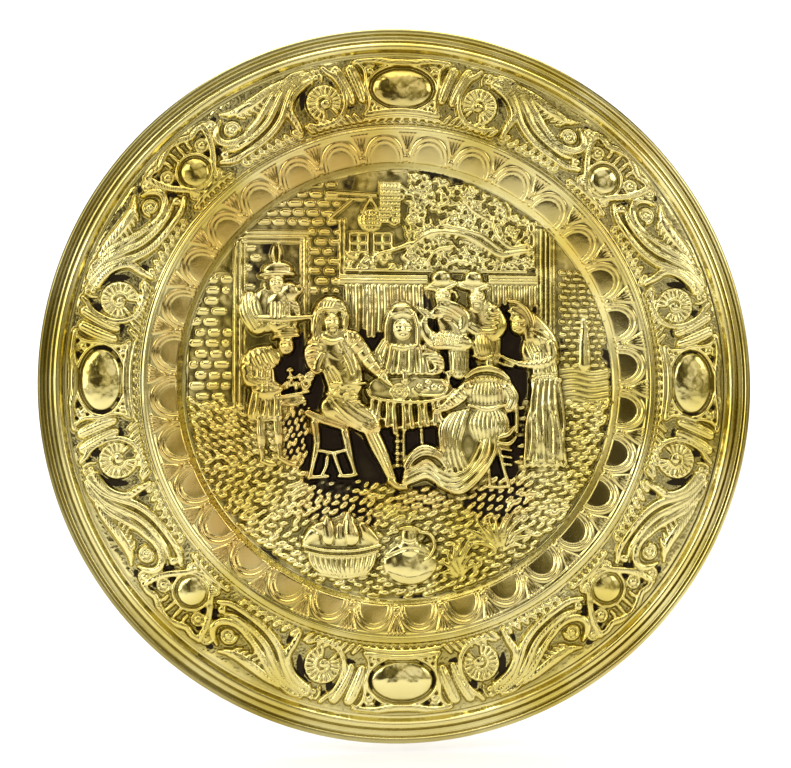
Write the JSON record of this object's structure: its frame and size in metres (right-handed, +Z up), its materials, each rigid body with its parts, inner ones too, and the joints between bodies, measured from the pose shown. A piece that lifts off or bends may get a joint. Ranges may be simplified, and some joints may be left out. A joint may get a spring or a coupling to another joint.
{
  "type": "embossed brass wall plate",
  "caption": "Round embossed brass wall plate with a rolled edge, scrolled ornament border, egg-and-dart band and a tavern yard scene in relief.",
  "frame": {"origin": "on the back of the hanging strap's pad, where it lies flat on the wall, 285 mm above the plate's middle", "axes": "+Z up, +X to the right as the plate is looked at, -Y out of the wall towards the viewer, wall at Y = 0"},
  "size_m": [0.6094, 0.0195, 0.6095],
  "materials": {
    "embossed_brass": "polished, with dark patina left in the deep parts of the relief",
    "plain_brass": "dull, soldered to the back"
  },
  "bodies": {
    "root": {"plate": "embossed_brass", "hanging_strap": "plain_brass"}
  },
  "joints": []
}
